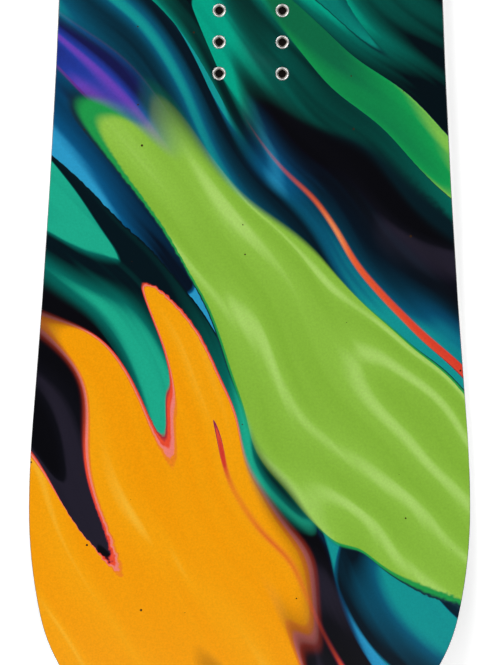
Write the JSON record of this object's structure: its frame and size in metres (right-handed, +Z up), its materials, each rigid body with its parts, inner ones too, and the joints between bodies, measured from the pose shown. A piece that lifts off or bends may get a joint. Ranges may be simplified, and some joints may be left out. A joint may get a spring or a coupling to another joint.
{
  "type": "snowboard",
  "caption": "Twin-tip snowboard with a flat profile, kicked nose and tail, steel edges, a wood core and a printed deck with bare threaded inserts for bindings.",
  "frame": {"origin": "middle of the board, on the floor plane that the flat base rests on", "axes": "+X across the board to its toe side, +Y along it to the nose, +Z up through the deck"},
  "size_m": [0.28, 1.46, 0.0471],
  "materials": {
    "printed_topsheet": "satin nylon film with a poured-paint style print in dark blue, emerald, lime, orange and coral",
    "glass_laminate": "stitched glass cloth in clear epoxy",
    "poplar": "planed poplar, grain along the board",
    "beech": "planed beech, grain along the board",
    "sidewall": "milled black ABS",
    "tip_spacer": "black ABS sheet",
    "steel_edge": "ground hardened steel",
    "rubber_foil": "thin black rubber foil",
    "sintered_base": "black sintered polyethylene with a ground structure",
    "insert_steel": "turned stainless steel"
  },
  "bodies": {
    "root": {"base_sheet_running": "sintered_base", "base_sheet_nose": "sintered_base", "base_sheet_tail": "sintered_base", "steel_edge_toeside": "steel_edge", "steel_edge_heelside": "steel_edge", "steel_edge_nose": "steel_edge", "steel_edge_tail": "steel_edge", "rubber_foil_toeside": "rubber_foil", "rubber_foil_heelside": "rubber_foil", "bottom_glass_laminate": "glass_laminate", "core_strip_01": "poplar", "core_strip_02": "poplar", "core_strip_03": "poplar", "core_strip_04": "poplar", "core_strip_05": "beech", "core_strip_06": "poplar", "core_strip_07": "beech", "core_strip_08": "poplar", "core_strip_09": "poplar", "core_strip_10": "poplar", "core_strip_11": "poplar", "sidewall_toeside": "sidewall", "sidewall_heelside": "sidewall", "tip_spacer_nose": "tip_spacer", "tip_spacer_tail": "tip_spacer", "threaded_inserts": "insert_steel", "top_glass_laminate": "glass_laminate", "topsheet": "printed_topsheet"}
  },
  "joints": []
}
